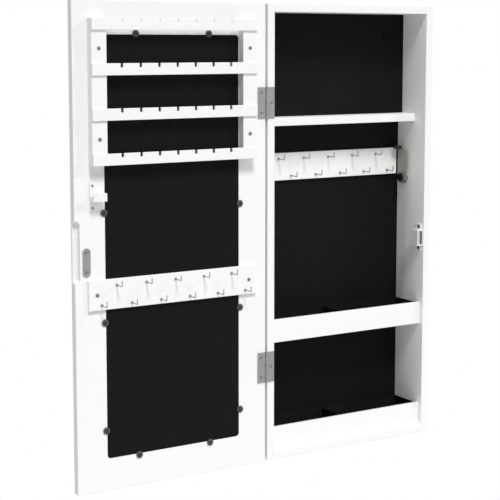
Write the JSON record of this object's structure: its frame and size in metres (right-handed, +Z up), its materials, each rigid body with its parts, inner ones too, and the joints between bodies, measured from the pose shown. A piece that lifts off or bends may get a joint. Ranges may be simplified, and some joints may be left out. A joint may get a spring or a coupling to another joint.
{
  "type": "jewelry mirror cabinet",
  "caption": "Slim wall-hung jewelry cabinet whose hinged mirror door opens flat, with a shelf, lined trays, necklace hooks, a notched earring rack, a magnetic catch and a cam lock.",
  "frame": {"origin": "on the wall, midway between the two holes for the hanging screws; the box's middle is x = 0 and its back is y = 0", "axes": "+X to the viewer's right, +Y into the wall, +Z up; the door stands open by half a turn to the left of the box, with its inner face level with the box's front"},
  "size_m": [0.6056, 0.0948, 0.67],
  "materials": {
    "white_board": "fibre board, smooth white lacquer, satin",
    "black_board": "thin fibre board, matt black",
    "flocked_lining": "thin moulded plastic, flocked black",
    "zinc_steel": "zinc plated, dull",
    "screw_steel": "zinc plated screws",
    "dark_screws": "blackened screws",
    "nickel_plate": "bright nickel plate",
    "cam_steel": "steel with a dull olive-grey coat",
    "black_plastic": "moulded, matt",
    "grey_plastic": "moulded, satin",
    "white_plastic": "moulded, satin",
    "magnet": "sintered ferrite",
    "pole_steel": "plain steel",
    "mirror": "silvered glass",
    "beech": "raw beech"
  },
  "bodies": {
    "cabinet": {"back_lining": "black_board", "back_panel": "white_board", "bottom_panel": "white_board", "bottom_tray_divider": "flocked_lining", "bottom_tray_front": "white_board", "bottom_tray_insert": "flocked_lining", "cabinet_hook_board": "white_board", "cabinet_hook_board_screws": "screw_steel", "cabinet_hooks": "nickel_plate", "catch_housing": "white_plastic", "catch_magnet": "magnet", "catch_poles": "pole_steel", "catch_screws": "dark_screws", "dowels": "beech", "hanging_rail": "white_board", "hinge_cabinet_screws": "screw_steel", "hinge_lower_cabinet_leaf": "zinc_steel", "hinge_lower_pin": "zinc_steel", "hinge_upper_cabinet_leaf": "zinc_steel", "hinge_upper_pin": "zinc_steel", "left_side_panel": "white_board", "lock_barrel": "nickel_plate", "lock_nut": "nickel_plate", "lock_washer": "nickel_plate", "middle_tray_divider": "flocked_lining", "middle_tray_floor": "white_board", "middle_tray_front": "white_board", "middle_tray_insert": "flocked_lining", "right_side_panel": "white_board", "shelf": "white_board", "top_panel": "white_board", "upper_lining": "black_board"},
    "door": {"disc_screws": "dark_screws", "door_frame": "white_board", "door_hook_board": "white_board", "door_hook_board_screws": "screw_steel", "door_hooks": "nickel_plate", "hinge_door_screws": "screw_steel", "hinge_lower_door_leaf": "zinc_steel", "hinge_upper_door_leaf": "zinc_steel", "keeper_screws": "screw_steel", "lock_keeper": "white_plastic", "mirror_backing": "black_board", "mirror_glass": "mirror", "rack_bar_1": "white_board", "rack_bar_2": "white_board", "rack_bar_3": "white_board", "rack_bar_4": "white_board", "rack_left_upright": "white_board", "rack_right_upright": "white_board", "rack_screws": "screw_steel", "retaining_discs": "grey_plastic", "strike_plate": "zinc_steel", "strike_screws": "screw_steel"},
    "lock": {"lock_plug": "nickel_plate", "lock_cam": "cam_steel", "cam_hook": "black_plastic", "cam_screw": "screw_steel"}
  },
  "joints": [
    {"name": "door_hinge", "type": "hinge", "parent": "cabinet", "child": "door", "pos_m": [-0.1518, -0.0742, -0.293], "axis": [0, 0, 1], "range_deg": [0, 180]},
    {"name": "lock_turn", "type": "hinge", "parent": "cabinet", "child": "lock", "pos_m": [0.13, -0.022, -0.225], "axis": [1, 0, 0], "range_deg": [0, 78]}
  ]
}
